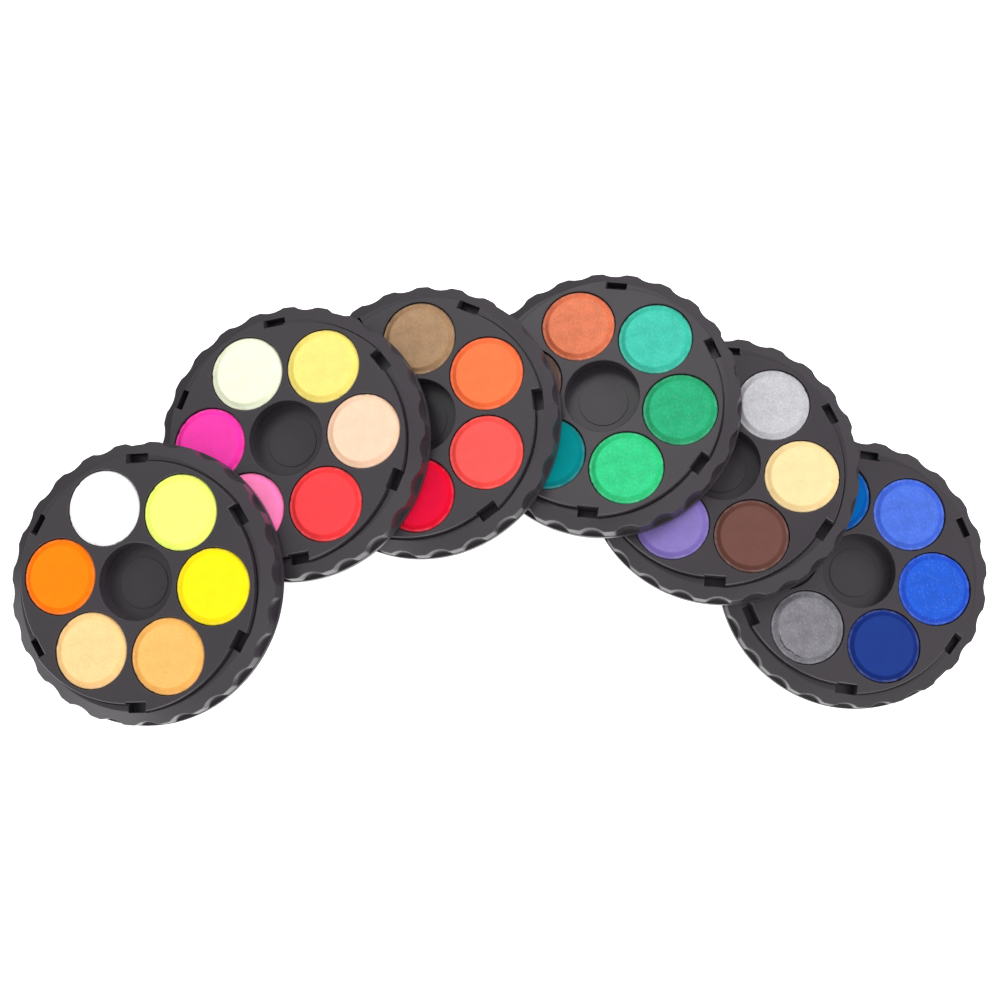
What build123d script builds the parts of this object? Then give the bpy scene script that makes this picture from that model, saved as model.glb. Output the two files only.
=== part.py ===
from build123d import *
from math import asin, degrees, radians, sin
import os

os.makedirs("parts", exist_ok=True)

# Watercolour pan set: six round twist-stack trays laid in a leaning arch, each with
# six pressed paint cakes round an empty mixing well.  Millimetres, floor at Z = 0.

# ---- one tray -----------------------------------------------------------------
PANS = 6
PAN_CIRCLE_R = 26.5          # centres of the six cake wells
WELL_R = 12.55               # cake wells and mixing well
TRAY_H = 12.6                # floor to deck
DECK_T = 1.6                 # deck plate
CUP_WALL = 1.1               # wall and floor of every cup
MIX_DEPTH = 7.0
MIX_STEP_R = 8.2             # low disc on the mixing well's floor
MIX_STEP_H = 0.3

RING_IN_R = 41.4             # where the sloping ring starts
RING_DROP_IN = 2.4           # ring below the deck at its inner edge
RING_DROP_OUT = 4.8          # and at its scalloped outer edge
RING_T = 2.0
SCALLOP_TIP_R = 45.85
SCALLOPS = 24
SCALLOP_DEPTH = 1.25
SCALLOP_CUT_R = 7.5
SCALLOP_BLEND_R = 2.0
FLANGE_R = 46.0              # plain band below the scallops
FLANGE_H = 2.4
SKIRT_IN_R = 44.0
FOOT_R = 45.4                # outer edge of the face that the tray stands on

SPIRAL_START_R = 41.4        # deck edge just past a slot, turning anticlockwise
SPIRAL_END_R = 39.0          # deck edge just before the next slot
GROOVE_W = 0.5
GROOVE_D = 1.0
SLOT_ANGLE = -24.5           # from a pan's own direction
SLOT_W = 6.8
SLOT_IN_R = 38.4
SLOT_OUT_R = 41.7
SLOT_DEPTH = 7.2             # deck to the slot's floor
SLOT_WALL = 0.9

LUG_IN_R = 40.6              # pads inside the skirt that grip the spiral edge below
LUG_Z = 1.6
LUG_H = 2.4
LUG_W = 5.0

# ---- one cake -----------------------------------------------------------------
CAKE_R = 12.2
CAKE_T = 5.6
CAKE_PROUD = 0.2             # above the deck
CAKE_BEVEL_W = 1.4
CAKE_BEVEL_H = 0.9

# ---- the arch -----------------------------------------------------------------
# Base centre x and y, direction of the first pan, tilt, and the direction that the
# tray leans towards.  Each tray's low edge is on the floor, and its high side rests
# on the next tray.
LAYOUT = [
    (-232.9, -7.3, -2.8, 17.2, 191.4),
    (-187.3, 40.5, 3.8, 17.4, 177.2),
    (-144.7, 49.7, 31.7, 15.8, 174.4),
    (-84.4, 58.2, -11.6, 14.5, 152.4),
    (-43.8, 37.9, -9.3, 10.3, 152.9),
    (2.5, 5.5, -11.6, 0.0, 0.0),
]
CENTRE = (-115.2, 25.5)          # middle of the whole arch, which becomes the origin

# Cakes anticlockwise from the first pan.
CAKES = [
    ("yellow", "lemon", "white", "orange", "peach", "apricot"),
    ("peach", "yellow", "cream", "magenta", "pink", "red"),
    ("orange", "olive", "umber", "maroon", "crimson", "coral"),
    ("green", "mint", "rust", "brown", "teal", "emerald"),
    ("cream", "silver", "gold", "bronze", "purple", "brown"),
    ("cobalt", "blue", "azure", "black", "grey", "navy"),
]

DECK_UNDER = TRAY_H - DECK_T
RING_IN_Z = TRAY_H - RING_DROP_IN
RING_OUT_Z = TRAY_H - RING_DROP_OUT
CAKE_FLOOR_Z = TRAY_H + CAKE_PROUD - CAKE_T
MIX_FLOOR_Z = TRAY_H - MIX_DEPTH
SLOT_FLOOR_Z = TRAY_H - SLOT_DEPTH
RIM_WALL_R = 37.6            # inside face of the deck's edge wall
RING_UNDER_Z = RING_IN_Z - RING_T


def deck_outline():
    """Deck edge: six spiral arms, each ending at a slot's square notch."""
    half = SLOT_W / 2
    pitch = 360 / PANS
    with BuildLine() as line:
        for arm in range(PANS):
            here = SLOT_ANGLE + pitch * arm
            after = here + pitch
            rise = degrees(asin(half / SPIRAL_START_R))
            drop = degrees(asin(half / SPIRAL_END_R))
            middle_r = (SPIRAL_START_R + SPIRAL_END_R) / 2
            notch = [
                Vector(SLOT_IN_R, -half).rotate(Axis.Z, here),
                Vector(SLOT_IN_R, half).rotate(Axis.Z, here),
            ]
            start = Vector(SPIRAL_START_R, 0).rotate(Axis.Z, here + rise)
            middle = Vector(middle_r, 0).rotate(Axis.Z, (here + rise + after - drop) / 2)
            end = Vector(SPIRAL_END_R, 0).rotate(Axis.Z, after - drop)
            Polyline(notch[0], notch[1], start)
            ThreePointArc(start, middle, end)
            Line(end, Vector(SLOT_IN_R, -half).rotate(Axis.Z, after))
    return line.line


# ---- the tray, standing at the origin -------------------------------------------
with BuildPart() as tray_shape:
    # Outer ring and skirt
    with BuildSketch(Plane.XZ):
        with BuildLine():
            Polyline(
                (0, 0), (FOOT_R, 0), (FLANGE_R, FLANGE_R - FOOT_R), (FLANGE_R, FLANGE_H),
                (SCALLOP_TIP_R, FLANGE_H), (SCALLOP_TIP_R, RING_OUT_Z),
                (RING_IN_R, RING_IN_Z), (0, RING_IN_Z), (0, 0),
            )
        make_face()
    revolve(axis=Axis.Z)

    # Scallops: shallow hollows all round the grip band, with rounded crests
    with BuildSketch(Plane.XY.offset(FLANGE_H)):
        Circle(FLANGE_R + 3)
        with BuildSketch(mode=Mode.SUBTRACT) as crest:
            Circle(SCALLOP_TIP_R)
            with PolarLocations(SCALLOP_TIP_R - SCALLOP_DEPTH + SCALLOP_CUT_R, SCALLOPS,
                                start_angle=180 / SCALLOPS):
                Circle(SCALLOP_CUT_R, mode=Mode.SUBTRACT)
            fillet(crest.vertices(), SCALLOP_BLEND_R)
    extrude(amount=TRAY_H, mode=Mode.SUBTRACT)
    shoulder = faces().filter_by(GeomType.CONE).sort_by(Axis.Z)[-1]
    fillet(shoulder.outer_wire().edges(), 0.35)

    # Groove at the foot of the deck's edge
    with BuildSketch(Plane.XY.offset(RING_IN_Z)):
        make_face(deck_outline().edges())
        offset(amount=GROOVE_W, kind=Kind.INTERSECTION)
    extrude(amount=-GROOVE_D, mode=Mode.SUBTRACT)

    # Locking slots in the ring, at the deck's notches
    with BuildSketch():
        with PolarLocations((SLOT_IN_R - GROOVE_W + SLOT_OUT_R) / 2, PANS, start_angle=SLOT_ANGLE):
            Rectangle(SLOT_OUT_R - SLOT_IN_R + GROOVE_W, SLOT_W)
    extrude(amount=TRAY_H, mode=Mode.SUBTRACT)

    # Raised deck
    with BuildSketch(Plane.XY.offset(RING_UNDER_Z)):
        make_face(deck_outline().edges())
    extrude(amount=TRAY_H - RING_UNDER_Z)
    chamfer(faces().sort_by(Axis.Z)[-1].outer_wire().edges(), 0.3)

    # Hollow underside
    with BuildSketch(Plane.XZ):
        with BuildLine():
            Polyline(
                (0, 0), (SKIRT_IN_R, 0), (SKIRT_IN_R, RING_OUT_Z - 0.8),
                (RING_IN_R, RING_UNDER_Z), (RIM_WALL_R, RING_UNDER_Z),
                (RIM_WALL_R, DECK_UNDER), (0, DECK_UNDER), (0, 0),
            )
        make_face()
    revolve(axis=Axis.Z, mode=Mode.SUBTRACT)

    # Closed pocket under each slot: a floor, then walls up into the ring
    slot_spots = PolarLocations((SLOT_IN_R + SLOT_OUT_R) / 2, PANS, start_angle=SLOT_ANGLE)
    slot_l = SLOT_OUT_R - SLOT_IN_R
    with BuildSketch(Plane.XY.offset(SLOT_FLOOR_Z - SLOT_WALL)):
        with slot_spots:
            Rectangle(slot_l + 2 * SLOT_WALL, SLOT_W + 2 * SLOT_WALL)
    extrude(amount=SLOT_WALL)
    with BuildSketch(Plane.XY.offset(SLOT_FLOOR_Z)):
        with slot_spots:
            Rectangle(slot_l + 2 * SLOT_WALL, SLOT_W + 2 * SLOT_WALL)
            Rectangle(slot_l, SLOT_W, mode=Mode.SUBTRACT)
    extrude(amount=RING_UNDER_Z + 0.5 - SLOT_FLOOR_Z)

    # Cups that hang from the deck
    with BuildSketch(Plane.XY.offset(CAKE_FLOOR_Z - CUP_WALL)):
        with PolarLocations(PAN_CIRCLE_R, PANS):
            Circle(WELL_R + CUP_WALL)
    extrude(until=Until.NEXT)
    with BuildSketch(Plane.XY.offset(MIX_FLOOR_Z - CUP_WALL)):
        Circle(WELL_R + CUP_WALL)
    extrude(amount=DECK_UNDER - MIX_FLOOR_Z + CUP_WALL)

    # Wells
    with BuildSketch(Plane.XY.offset(CAKE_FLOOR_Z)):
        with PolarLocations(PAN_CIRCLE_R, PANS):
            Circle(WELL_R)
    extrude(amount=TRAY_H, mode=Mode.SUBTRACT)
    with BuildSketch(Plane.XY.offset(MIX_FLOOR_Z)):
        Circle(WELL_R)
    extrude(amount=TRAY_H, mode=Mode.SUBTRACT)
    fillet(faces().sort_by(Axis.Z)[-1].inner_wires().edges(), 0.25)
    with BuildSketch(Plane.XY.offset(MIX_FLOOR_Z)):
        Circle(MIX_STEP_R)
    extrude(amount=MIX_STEP_H)

    # Grip pads inside the skirt
    with BuildSketch(Plane.XY.offset(LUG_Z)):
        with PolarLocations((LUG_IN_R + SKIRT_IN_R + 0.4) / 2, PANS, start_angle=SLOT_ANGLE + 30):
            Rectangle(SKIRT_IN_R + 0.4 - LUG_IN_R, LUG_W)
    extrude(amount=LUG_H)

# ---- the cake, standing at the origin --------------------------------------------
with BuildPart() as cake_shape:
    with BuildSketch():
        Circle(CAKE_R)
    extrude(amount=CAKE_T)
    top = faces().sort_by(Axis.Z)[-1]
    chamfer(top.edges(), CAKE_BEVEL_H, CAKE_BEVEL_W, reference=faces().filter_by(GeomType.CYLINDER)[0])
    fillet(faces().sort_by(Axis.Z)[-1].edges(), 0.4)


def leaning(x, y, yaw, tilt, lean):
    """Place a tray with its low edge on the floor."""
    height = FOOT_R * sin(radians(tilt))
    spot = Location((x - CENTRE[0], y - CENTRE[1], height))
    return spot * Location((0, 0, 0), (0, 0, lean)) * Location((0, 0, 0), (0, tilt, yaw - lean))


for number, (place, names) in enumerate(zip(LAYOUT, CAKES), start=1):
    tray_at = leaning(*place)

    with BuildPart() as tray:
        with Locations(tray_at):
            add(tray_shape.part)
    tray.part.label = f"tray_{number}"
    export_step(tray.part, f"parts/{tray.part.label}.step")

    for name, seat in zip(names, PolarLocations(PAN_CIRCLE_R, PANS)):
        with BuildPart() as cake:
            with Locations(tray_at * Location((0, 0, CAKE_FLOOR_Z)) * seat):
                add(cake_shape.part)
        cake.part.label = f"cake_{number}_{name}"
        export_step(cake.part, f"parts/{cake.part.label}.step")
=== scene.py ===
import math
import random

import bmesh
import bpy
import numpy as np
from mathutils import Matrix, Vector, noise


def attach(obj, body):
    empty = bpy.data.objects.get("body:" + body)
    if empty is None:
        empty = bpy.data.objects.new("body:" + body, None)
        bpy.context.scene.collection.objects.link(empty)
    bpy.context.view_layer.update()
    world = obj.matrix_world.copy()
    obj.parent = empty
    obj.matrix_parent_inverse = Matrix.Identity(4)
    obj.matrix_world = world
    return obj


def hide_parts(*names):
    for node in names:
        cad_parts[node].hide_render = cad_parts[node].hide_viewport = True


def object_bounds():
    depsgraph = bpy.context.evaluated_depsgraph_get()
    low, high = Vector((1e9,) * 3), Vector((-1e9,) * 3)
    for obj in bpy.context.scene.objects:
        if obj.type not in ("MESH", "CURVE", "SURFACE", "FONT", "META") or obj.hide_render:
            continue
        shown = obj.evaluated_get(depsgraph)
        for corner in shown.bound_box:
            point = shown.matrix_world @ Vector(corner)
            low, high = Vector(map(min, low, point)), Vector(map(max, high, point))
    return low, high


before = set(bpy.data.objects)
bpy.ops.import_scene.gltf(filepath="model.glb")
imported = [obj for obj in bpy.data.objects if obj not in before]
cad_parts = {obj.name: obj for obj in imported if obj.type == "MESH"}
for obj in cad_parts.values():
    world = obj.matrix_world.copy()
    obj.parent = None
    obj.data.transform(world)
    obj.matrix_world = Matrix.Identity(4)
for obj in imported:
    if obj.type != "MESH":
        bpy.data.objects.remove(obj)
cad_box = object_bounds()

MM = 0.001

# The screen colour that each paint is mixed from, and its finish. Some are shifted a little from how the
# paint looks, to make up for its gloss and mica.
# Matte cakes are pressed pigment; pearl cakes hold fine mica; metal and worn cakes hold more of it.
PAINTS = {
    1: {"yellow": ((253, 247, 30), "matte"), "lemon": ((251, 254, 134), "matte"),
        "white": ((255, 255, 255), "matte"), "orange": ((255, 141, 17), "matte"),
        "peach": ((252, 221, 156), "speckled"), "apricot": ((251, 197, 113), "speckled")},
    2: {"peach": ((252, 224, 194), "matte"), "yellow": ((252, 244, 137), "matte"),
        "cream": ((251, 252, 236), "matte"), "magenta": ((253, 72, 190), "matte"),
        "pink": ((255, 148, 207), "matte"), "red": ((252, 76, 81), "matte")},
    3: {"orange": ((253, 132, 81), "matte"), "olive": ((186, 149, 112), "pearl"),
        "umber": ((110, 78, 62), "matte"), "maroon": ((138, 40, 54), "matte"),
        "crimson": ((244, 18, 62), "matte"), "coral": ((253, 98, 93), "matte")},
    4: {"green": ((33, 182, 126), "pearl"), "mint": ((67, 208, 183), "pearl"),
        "rust": ((241, 134, 94), "pearl"), "brown": ((109, 85, 79), "matte"),
        "teal": ((2, 144, 148), "matte"), "emerald": ((50, 218, 143), "pearl")},
    5: {"cream": ((252, 236, 177), "matte"), "silver": ((218, 217, 222), "metal"),
        "gold": ((201, 160, 84), "metal"), "bronze": ((150, 104, 70), "metal"),
        "purple": ((147, 129, 202), "matte"), "brown": ((120, 82, 74), "matte")},
    6: {"cobalt": ((25, 96, 225), "pearl"), "blue": ((78, 121, 238), "pearl"),
        "azure": ((2, 105, 190), "matte"), "black": ((44, 42, 46), "matte"),
        "grey": ((141, 139, 146), "worn"), "navy": ((36, 63, 143), "matte")},
}
STUDIO_GAIN = 1.30           # how much brighter than its own colour the light shows a cake
# The same, tray by tray. The flatter trays face the key light more; the values are fitted to renders.
TRAY_GAIN = {1: 1.00, 2: 1.05, 3: 1.07, 4: 1.08, 5: 1.13, 6: 1.15}
OVEREXPOSED = 249            # screen values above this are brighter than they can show
GLARE_STEP = 24              # how many of them it takes to double the light
WHITEST = 0.92               # the most light that a pressed pigment returns

CRACKED = {"cake_6_grey": (190, 262)}          # flaked along the bevel, in degrees from +X
PITTED = {"cake_5_cream": (-12, 0.80, 0.55)}   # a pit: degrees from +X, share of the radius, mm across


def linear(value):
    """One screen colour value, 0 to 255, as linear light."""
    value /= 255
    return value / 12.92 if value <= 0.04045 else ((value + 0.055) / 1.055) ** 2.4


def albedo(value, gain):
    """How much light a paint returns where its screen colour is value."""
    glare = 1 + max(0, value - OVEREXPOSED) / GLARE_STEP
    return min(WHITEST, linear(value) / gain * glare)


# ---- node helpers -----------------------------------------------------------------


def new_material(name):
    material = bpy.data.materials.new(name)
    material.use_nodes = True
    tree = material.node_tree
    return material, tree, tree.nodes["Principled BSDF"]


def add(tree, kind, inputs=None, **settings):
    """A node of that kind, with its settings, and its inputs set or linked by name or place."""
    node = tree.nodes.new("ShaderNode" + kind)
    for name, value in settings.items():
        setattr(node, name, value)
    for key, value in (inputs or {}).items():
        if isinstance(value, bpy.types.NodeSocket):
            tree.links.new(value, node.inputs[key])
        else:
            node.inputs[key].default_value = value
    return node


def noise_of(tree, where, scale, detail=3.0, roughness=0.55):
    node = add(tree, "TexNoise", {"Vector": where, "Scale": scale, "Detail": detail,
                                  "Roughness": roughness})
    return node.outputs["Fac"]


def spread(tree, value, low, high, to_low=0.0, to_high=1.0):
    """value moved from the range low..high to the range to_low..to_high, and held inside it."""
    node = add(tree, "MapRange", {"Value": value, "From Min": low, "From Max": high,
                                  "To Min": to_low, "To Max": to_high}, clamp=True)
    return node.outputs["Result"]


def math_of(tree, operation, first, second=0.0):
    return add(tree, "Math", {0: first, 1: second}, operation=operation).outputs[0]


def blended(tree, share, first, second, mode="MIX"):
    node = tree.nodes.new("ShaderNodeMix")
    node.data_type = "RGBA"
    node.blend_type = mode
    sockets = [s for s in node.inputs if s.enabled]
    for socket, value in zip(sockets, (share, first, second)):
        if isinstance(value, bpy.types.NodeSocket):
            tree.links.new(value, socket)
        else:
            socket.default_value = value
    return [s for s in node.outputs if s.enabled][0]


def bump_of(tree, height, distance, strength=1.0, normal=None):
    inputs = {"Height": height, "Distance": distance, "Strength": strength}
    if normal is not None:
        inputs["Normal"] = normal
    return add(tree, "Bump", inputs).outputs["Normal"]


# ---- the moulded plastic -------------------------------------------------------------

EDGE_RADIUS = 0.14 * MM      # how round the moulded edges are
WEAR_AND_HIGHLIGHT_REACH = 0.45 * MM       # how far from an edge the plastic is worn, and lightened with a painted highlight
BODY_DARK, BODY_LIGHT = (0.0245, 0.0200, 0.0255, 1), (0.0315, 0.0262, 0.0325, 1)
# the edge colour: lighter partly from wear and partly as a painted highlight on the moulded edges
EDGE_WEAR_AND_HIGHLIGHT = (0.046, 0.042, 0.048, 1)
STREAKS = (0.085, 0.082, 0.09, 1)


def tray_plastic():
    """Satin dark grey polystyrene: fine mould grain, faint flow, edges lightened partly as wear and partly
    as a painted highlight, and hairline scratches.
    """
    material, tree, shader = new_material("tray_plastic")
    where = add(tree, "TexCoord").outputs["Object"]
    rounded = add(tree, "Bevel", {"Radius": EDGE_RADIUS}, samples=6).outputs["Normal"]
    wide = add(tree, "Bevel", {"Radius": WEAR_AND_HIGHLIGHT_REACH}, samples=4).outputs["Normal"]
    flat = add(tree, "NewGeometry").outputs["True Normal"]
    facing = add(tree, "VectorMath", {0: wide, 1: flat}, operation="DOT_PRODUCT").outputs["Value"]
    edge = spread(tree, facing, 0.995, 0.86)

    cloud = noise_of(tree, where, 38.0, 4.0)
    grain = noise_of(tree, where, 2600.0, 2.0, 0.7)
    stretched = add(tree, "Mapping", {"Vector": where, "Rotation": (0.0, 0.0, 0.6),
                                      "Scale": (90.0, 2400.0, 90.0)}).outputs["Vector"]
    streak = spread(tree, noise_of(tree, stretched, 1.0, 2.0), 0.70, 0.76)

    body = blended(tree, cloud, BODY_DARK, BODY_LIGHT)
    # edges lightened, partly as wear and partly as a painted highlight
    wear_and_highlight = blended(tree, math_of(tree, "MULTIPLY", edge, cloud), body, EDGE_WEAR_AND_HIGHLIGHT)
    colour = blended(tree, math_of(tree, "MULTIPLY", streak, 0.16), wear_and_highlight, STREAKS)
    tree.links.new(colour, shader.inputs["Base Color"])

    gloss = spread(tree, cloud, 0.3, 0.7, 0.30, 0.38)
    worn = math_of(tree, "SUBTRACT", gloss, math_of(tree, "MULTIPLY", edge, 0.08))
    tree.links.new(worn, shader.inputs["Roughness"])
    shader.inputs["IOR"].default_value = 1.5
    shader.inputs["Specular IOR Level"].default_value = 0.5

    waves = bump_of(tree, noise_of(tree, where, 55.0, 1.0), 0.06 * MM, 0.5, rounded)
    fine = bump_of(tree, grain, 0.012 * MM, 0.6, waves)
    tree.links.new(fine, shader.inputs["Normal"])
    return material


# ---- the paint ---------------------------------------------------------------------------

BEVEL_SHADE = (9.9 * MM, 10.3 * MM)      # radii over which the painted shade on the bevel comes in: the base colour made darker and deeper
LAND_TONE = (11.35 * MM, 11.65 * MM)    # radii over which the paler tone of the outer land comes in
CRACK_RADIUS = 10.2 * MM
CRACK_WANDER = 0.45 * MM
# how much the painted shade darkens the flaked crack
CRACK_PAINTED_SHADE = 0.75
MICA_GLINT_TONE = 0.62                        # the pale tone that a flake of mica leans towards, painted in as its glint

# How strongly each finish shows: cloudy mottle, fine grain, dark pinholes, mica (metallic, and pale flakes
# painted in as glints), roughness, gloss
FINISHES = {
    "matte": dict(mottle=0.05, grain=0.05, pinholes=0.05, mica=0.0, rough=0.85, gloss=0.10),
    "speckled": dict(mottle=0.06, grain=0.09, pinholes=0.40, mica=0.0, rough=0.88, gloss=0.08),
    "pearl": dict(mottle=0.12, grain=0.14, pinholes=0.10, mica=0.12, rough=0.55, gloss=0.35),
    "metal": dict(mottle=0.08, grain=0.20, pinholes=0.16, mica=0.25, rough=0.50, gloss=0.45),
    "worn": dict(mottle=0.19, grain=0.20, pinholes=0.20, mica=0.25, rough=0.50, gloss=0.45),
}


def crack_of(tree, where, radius, span):
    """How far into the flaked crack along the crest a point is, for a span of angles in degrees; it places
    the painted shade in the crack.
    """
    along = add(tree, "SeparateXYZ", {"Vector": where}).outputs
    angle = math_of(tree, "ARCTAN2", along["Y"], along["X"])
    first, last = (math.radians(turn - 360) for turn in span)
    fade = math.radians(10)
    inside = math_of(tree, "MULTIPLY", spread(tree, angle, first, first + fade),
                     spread(tree, angle, last, last - fade))
    wander = spread(tree, noise_of(tree, where, 420.0, 3.0), 0.3, 0.7, -CRACK_WANDER, CRACK_WANDER)
    shifted = math_of(tree, "ADD", radius, wander)
    away = math_of(tree, "ABSOLUTE", math_of(tree, "SUBTRACT", shifted, CRACK_RADIUS))
    return math_of(tree, "MULTIPLY", inside, spread(tree, away, 0.34 * MM, 0.12 * MM))


def dimmed(tree, value, depth, strength):
    """value, darkened by up to strength where depth is 1."""
    kept = math_of(tree, "SUBTRACT", 1.0, math_of(tree, "MULTIPLY", depth, strength))
    return math_of(tree, "MULTIPLY", value, kept)


def paint(name, screen_colour, finish, gain, crack=None):
    """A pressed paint cake: cloudy pigment, fine grain, pinholes, painted shade on its bevel and in any
    crack, and pale mica flakes painted in as glints where the finish has mica.
    """
    look = FINISHES[finish]
    material, tree, shader = new_material(name)
    where = add(tree, "TexCoord").outputs["Object"]
    red, green, blue = (albedo(value, gain) for value in screen_colour)
    base = (red, green, blue, 1)
    # painted shade for the bevel: the base colour darker and deeper
    bevel_shade = (red ** 1.15, green ** 1.15, blue ** 1.15, 1)
    # the outer land is paler, mixed in in cloudy patches
    paler_land = (red * 0.90 + 0.05, green * 0.90 + 0.05, blue * 0.90 + 0.05, 1)

    across = add(tree, "VectorMath", {0: where, 1: (1.0, 1.0, 0.0)}, operation="MULTIPLY")
    radius = add(tree, "VectorMath", {0: across.outputs["Vector"]}, operation="LENGTH").outputs["Value"]
    bevel = spread(tree, radius, *BEVEL_SHADE)
    land = spread(tree, radius, *LAND_TONE)

    cloud = noise_of(tree, where, 210.0, 4.0, 0.6)
    grain = noise_of(tree, where, 1900.0, 3.0, 0.7)
    cells = add(tree, "TexVoronoi", {"Vector": where, "Scale": 620.0})
    chance = add(tree, "SeparateColor", {"Color": cells.outputs["Color"]}).outputs[0]
    dot = spread(tree, cells.outputs["Distance"], 0.16, 0.06)
    pinhole = math_of(tree, "MULTIPLY", dot, spread(tree, chance, 0.90, 0.93))

    toned = blended(tree, bevel, base, bevel_shade)
    toned = blended(tree, math_of(tree, "MULTIPLY", land, spread(tree, cloud, 0.35, 0.65)), toned, paler_land)
    light = spread(tree, cloud, 0.3, 0.7, 1 - look["mottle"], 1 + look["mottle"])
    grainy = spread(tree, grain, 0.3, 0.7, 1 - look["grain"], 1 + look["grain"])
    value = dimmed(tree, math_of(tree, "MULTIPLY", light, grainy), pinhole, look["pinholes"])
    if crack:
        # painted shade in the flaked crack: the colour darkened along it
        value = dimmed(tree, value, crack_of(tree, where, radius, crack), CRACK_PAINTED_SHADE)
    shaded = add(tree, "VectorMath", {0: toned, "Scale": value}, operation="SCALE").outputs["Vector"]
    if look["mica"]:
        flakes = add(tree, "TexVoronoi", {"Vector": where, "Scale": 2300.0})
        draws = add(tree, "SeparateColor", {"Color": flakes.outputs["Color"]}).outputs
        # pale mica flakes: partly the flakes' own pale tone, partly a painted glint in the base colour
        painted_glint = spread(tree, draws[1], 0.80, 1.0)
        pale = tuple(c + (MICA_GLINT_TONE - c) * 0.45 for c in base[:3]) + (1,)
        shaded = blended(tree, math_of(tree, "MULTIPLY", painted_glint, look["mica"]), shaded, pale)
        shader.inputs["Metallic"].default_value = look["mica"]
    tree.links.new(shaded, shader.inputs["Base Color"])
    tree.links.new(spread(tree, grain, 0.2, 0.8, look["rough"] - 0.08, look["rough"] + 0.08),
                   shader.inputs["Roughness"])
    shader.inputs["IOR"].default_value = 1.45
    shader.inputs["Specular IOR Level"].default_value = look["gloss"]

    height = math_of(tree, "SUBTRACT", grain, math_of(tree, "MULTIPLY", pinhole, 3.0))
    normal = bump_of(tree, height, 0.03 * MM, 0.55)
    if look["mica"]:
        normal = bump_of(tree, draws[2], 0.02 * MM, 0.45, normal)
    tree.links.new(normal, shader.inputs["Normal"])
    return material


# ---- the cakes ------------------------------------------------------------------------------

SEGMENTS = 144
TOP_RINGS = 24
WALL_RINGS = 5
SPREAD = 0.10 * MM           # how far the pressed rim has spread towards the cup
NICK = (0.22 * MM, 0.30 * MM)     # the deepest nick in a rim, inwards and downwards
PIT_DEPTH = 0.5 * MM
CRACK_DEPTH = 0.40 * MM
CRACK_WIDTH = 0.32 * MM
# From the crest to the rim: distance in from the rim, depth below the top
BEVEL = [(2.30, 0.0), (2.10, 0.04), (1.92, 0.12), (1.50, 0.34), (1.08, 0.56), (0.88, 0.64),
         (0.70, 0.68), (0.35, 0.75), (0.10, 0.81), (0.0, 0.92)]
CREST_IN = BEVEL[0][0] * MM
RIM_DROP = BEVEL[-1][1] * MM


def cake_frame(node):
    """From a cake's own axes, with Z out of the well, to the row frame; its radius and thickness."""
    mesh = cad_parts[node].data
    disc = max(mesh.polygons, key=lambda face: face.area)
    up = (disc.normal if disc.normal.z > 0 else -disc.normal).normalized()
    across = (Vector((1, 0, 0)) - up * up.x).normalized()
    along = up.cross(across)
    axes = np.array([across, along, up])
    points = np.array([vertex.co for vertex in mesh.vertices]) @ axes.T
    low, high = points.min(0), points.max(0)
    seat = Vector(axes.T @ np.array([(low[0] + high[0]) / 2, (low[1] + high[1]) / 2, low[2]]))
    turn = Matrix((across, along, up)).transposed().to_4x4()
    return Matrix.Translation(seat) @ turn, (high[0] - low[0]) / 2 + SPREAD, high[2] - low[2]


def cake_profile(radius, thickness):
    """(radius, height) from the middle of the top, over the bevel and its land, down the wall."""
    profile = []
    for ring in range(1, TOP_RINGS):
        profile.append(((radius - CREST_IN) * (ring / TOP_RINGS) ** 0.8, thickness))
    for inset, depth in BEVEL:
        profile.append((radius - inset * MM, thickness - depth * MM))
    for ring in range(1, WALL_RINGS + 1):
        profile.append((radius, (thickness - RIM_DROP) * (1 - ring / WALL_RINGS)))
    return profile


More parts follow.
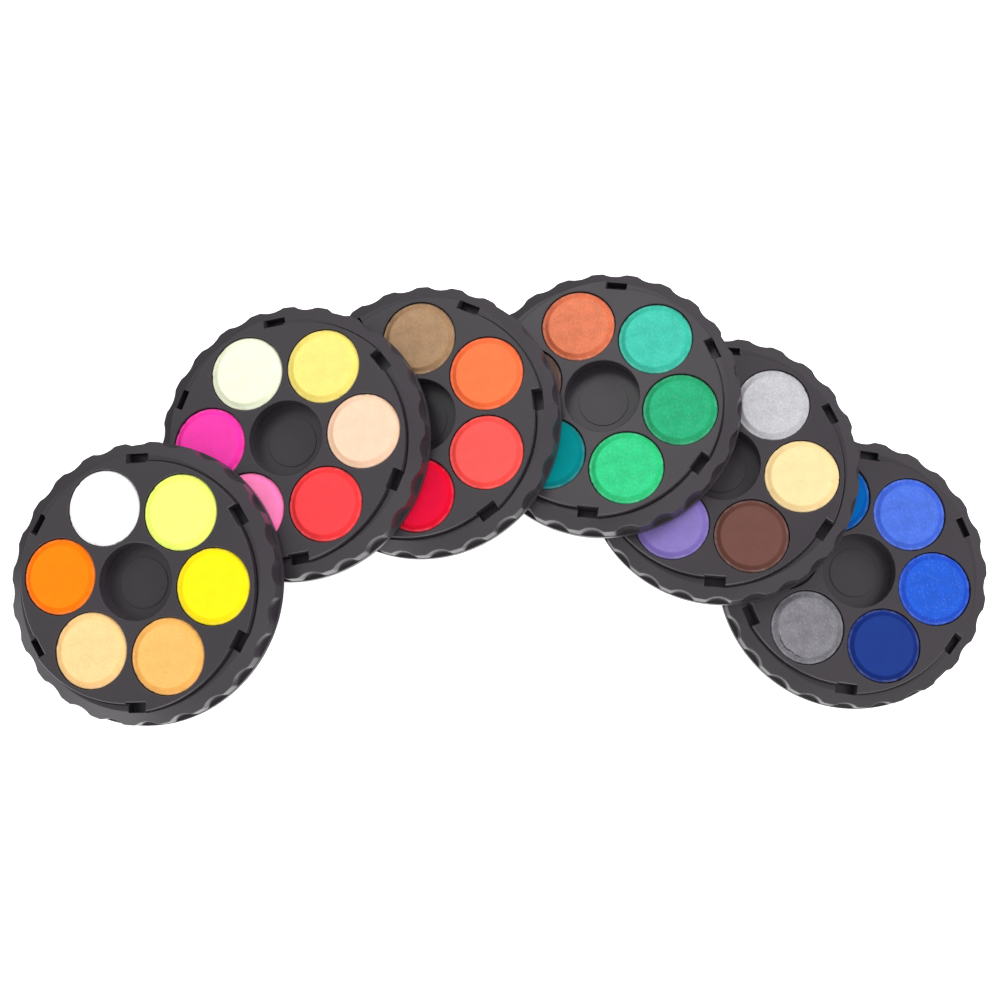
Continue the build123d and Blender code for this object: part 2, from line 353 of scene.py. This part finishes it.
def cake_piece(node, material, rng):
    """A pressed cake as it comes out of the die: a slightly uneven top, a worn bevel and a nicked rim."""
    place, radius, thickness = cake_frame(node)
    crest = radius - CREST_IN
    seed = Vector((rng.uniform(0, 90), rng.uniform(0, 90), rng.uniform(0, 90)))
    sag = rng.uniform(-0.06, 0.04) * MM
    crack, pit = CRACKED.get(node), PITTED.get(node)
    bm = bmesh.new()

    def uneven(r, z, angle):
        """Where the pressed surface really is at that radius and height."""
        x, y = r * math.cos(angle), r * math.sin(angle)
        if z < thickness - RIM_DROP - 0.1 * MM:
            return x, y, z
        slow = noise.noise(Vector((x, y, 0)) * 190 + seed)
        quick = noise.noise(Vector((x, y, 0)) * 900 + seed)
        z += 0.035 * MM * slow + 0.012 * MM * quick + sag * (1 - (r / radius) ** 2)
        edge = max(0.0, (r - crest) / CREST_IN)
        nick = max(0.0, noise.noise(Vector((x, y, 0)) * 620 + seed * 2) - 0.18)
        r -= NICK[0] * nick * edge
        z -= NICK[1] * nick * edge
        if pit:
            away = math.hypot(x - pit[1] * radius * math.cos(math.radians(pit[0])),
                              y - pit[1] * radius * math.sin(math.radians(pit[0]))) / (pit[2] * MM)
            z -= PIT_DEPTH * math.exp(-away * away)
        if crack:
            turn = (math.degrees(angle) - crack[0]) / (crack[1] - crack[0])
            if 0 < turn < 1:
                swing = noise.noise(Vector((angle * 6, 0, 0)) + seed)
                middle = crest - 0.1 * MM + CRACK_WANDER * swing
                width = CRACK_WIDTH * math.sin(math.pi * turn) ** 0.5
                away = (r - middle) / max(width, 1e-6)
                flaky = 0.6 + 0.8 * noise.noise(Vector((x, y, 0)) * 1500 + seed)
                z -= CRACK_DEPTH * math.exp(-away * away) * max(0.0, flaky)
        return r * math.cos(angle), r * math.sin(angle), z

    middle = bm.verts.new((0, 0, thickness + sag))
    rings = []
    for r, z in cake_profile(radius, thickness):
        rings.append([bm.verts.new(uneven(r, z, math.tau * k / SEGMENTS)) for k in range(SEGMENTS)])
    under = bm.verts.new((0, 0, 0))
    for k in range(SEGMENTS):
        after = (k + 1) % SEGMENTS
        bm.faces.new((middle, rings[0][k], rings[0][after]))
        for inner, outer in zip(rings, rings[1:]):
            bm.faces.new((inner[k], outer[k], outer[after], inner[after]))
        bm.faces.new((under, rings[-1][after], rings[-1][k]))
    mesh = bpy.data.meshes.new(node)
    bm.to_mesh(mesh)
    bm.free()
    for face in mesh.polygons:
        face.use_smooth = True
    piece = bpy.data.objects.new("paint" + node[len("cake"):], mesh)
    bpy.context.scene.collection.objects.link(piece)
    piece.matrix_world = place
    mesh.materials.append(material)
    return piece


plastic = tray_plastic()
for number, cakes in PAINTS.items():
    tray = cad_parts[f"tray_{number}"]
    for slot in tray.material_slots:
        slot.material = plastic
    for name, (colour, finish) in cakes.items():
        node = f"cake_{number}_{name}"
        slot_name = f"paint_{number}_{name}"
        gain = STUDIO_GAIN * TRAY_GAIN[number]
        material = paint(slot_name, colour, finish, gain, CRACKED.get(node))
        piece = cake_piece(node, material, random.Random(node))
        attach(piece, f"pan_tray_{number}")
        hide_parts(node)

# ---- the studio ----------------------------------------------------------------------------

SKY = 0.80                   # the tent's own brightness
FLOOR_GLOW = 0.75            # light that comes up through the white table
UNDER_BACK = 0.25            # below the horizon, behind and at the sides, as a share of the tent
UNDER_FRONT = 2.4            # the same in front, where the near tray walls mirror it
FLOOR_HALF = 3.0
FLOOR_STEPS = 24
low, high = cad_box
centre = (low + high) / 2


def paper_floor():
    """A large pale sheet of paper under the set, which is lit from below and isn't mirrored in it."""
    bm = bmesh.new()
    ticks = [FLOOR_HALF * (2 * i / FLOOR_STEPS - 1) for i in range(FLOOR_STEPS + 1)]
    rows = [[bm.verts.new((x, y, 0)) for x in ticks] for y in ticks]
    for row, after in zip(rows, rows[1:]):
        for i in range(FLOOR_STEPS):
            bm.faces.new((row[i], row[i + 1], after[i + 1], after[i]))
    mesh = bpy.data.meshes.new("floor")
    bm.to_mesh(mesh)
    bm.free()
    floor = bpy.data.objects.new("floor", mesh)
    bpy.context.scene.collection.objects.link(floor)
    floor.location.z = low.z - 0.05 * MM
    material, tree, shader = new_material("floor")
    fibre = noise_of(tree, add(tree, "TexCoord").outputs["Object"], 9.0, 4.0)
    paper = blended(tree, fibre, (0.90, 0.90, 0.90, 1), (0.93, 0.93, 0.93, 1))
    tree.links.new(paper, shader.inputs["Base Color"])
    shader.inputs["Emission Color"].default_value = (1, 1, 1, 1)
    shader.inputs["Emission Strength"].default_value = FLOOR_GLOW
    shader.inputs["Roughness"].default_value = 0.9
    shader.inputs["Specular IOR Level"].default_value = 0.1
    mesh.materials.append(material)
    floor.visible_glossy = floor.visible_diffuse = False


def softbox(name, towards, distance, size, share):
    """A square soft light, unseen in reflections, that adds share of the light on a flat white surface."""
    light = bpy.data.lights.new(name, "AREA")
    light.shape = "SQUARE"
    light.size = size
    direction = Vector(towards).normalized()
    light.energy = share * (math.pi * distance) ** 2 / direction.z
    lamp = bpy.data.objects.new(name, light)
    lamp.location = centre + direction * distance
    lamp.rotation_euler = direction.to_track_quat("Z", "Y").to_euler()
    lamp.visible_glossy = False
    bpy.context.scene.collection.objects.link(lamp)


# Patches of the tent that are brighter or darker: towards, full within, gone beyond (degrees), change.
# They are fitted to the sheen on the plastic. What caused it in the real studio isn't known.
PATCHES = [
    ((-0.34, 0.48, 0.81), 5, 15, 2.20),      # bright, behind and to the left
    ((-0.03, 0.30, 0.95), 6, 20, -0.50),     # dark, almost overhead
    ((0.27, -0.34, 0.90), 8, 30, 0.45),      # a little brighter, in front and high up
    ((-0.62, -0.72, 0.26), 6, 22, 2.60),     # two low ones in front, which light the scallops' edges
    ((0.05, -0.96, 0.22), 6, 22, 2.60),
]


def tent():
    """The world: white cloth all round, with its patches."""
    world = bpy.data.worlds.new("studio")
    world.use_nodes = True
    tree = world.node_tree
    towards = add(tree, "TexCoord").outputs["Generated"]
    strength = SKY
    for direction, within, beyond, change in PATCHES:
        facing = add(tree, "VectorMath", {0: towards, 1: Vector(direction).normalized()},
                     operation="DOT_PRODUCT").outputs["Value"]
        patch = spread(tree, facing, math.cos(math.radians(beyond)), math.cos(math.radians(within)),
                       0.0, change)
        strength = math_of(tree, "ADD", strength, patch)
    height = add(tree, "SeparateXYZ", {"Vector": towards}).outputs["Z"]
    forward = add(tree, "VectorMath", {0: towards, 1: (-0.2, -0.98, 0.0)},
                  operation="DOT_PRODUCT").outputs["Value"]
    under = spread(tree, forward, 0.05, 0.25, UNDER_BACK, UNDER_FRONT)
    above = spread(tree, height, -0.08, 0.06)
    share = math_of(tree, "ADD", above, math_of(tree, "MULTIPLY", under,
                                                math_of(tree, "SUBTRACT", 1.0, above)))
    strength = math_of(tree, "MULTIPLY", strength, share)
    tree.links.new(strength, tree.nodes["Background"].inputs["Strength"])
    tree.nodes["Background"].inputs["Color"].default_value = (1, 1, 1, 1)
    bpy.context.scene.world = world


def studio():
    """An even white tent, with a key light from the back right and a weak one overhead."""
    paper_floor()
    softbox("key", (0.48, 0.62, 0.62), 4.0, 1.5, 0.56)
    softbox("top", (-0.10, 0.15, 0.98), 2.6, 1.6, 0.03)
    tent()
    bpy.context.scene.view_settings.view_transform = "Standard"


def camera():
    """Almost straight down, from a little in front and to the left of the middle."""
    lens = bpy.data.cameras.new("camera")
    lens.sensor_width = 36
    lens.lens = 61.86
    ahead = Vector((0.0649, 0.1616, -0.9847)).normalized()
    right = ahead.cross(Vector((-0.0376, 0.9865, 0.1595))).normalized()
    shot = bpy.data.objects.new("camera", lens)
    turn = Matrix((right, right.cross(ahead), -ahead)).transposed().to_4x4()
    shot.matrix_world = Matrix.Translation((-0.04165, -0.0935, 0.5790)) @ turn
    bpy.context.scene.collection.objects.link(shot)
    bpy.context.scene.camera = shot


studio()
camera()
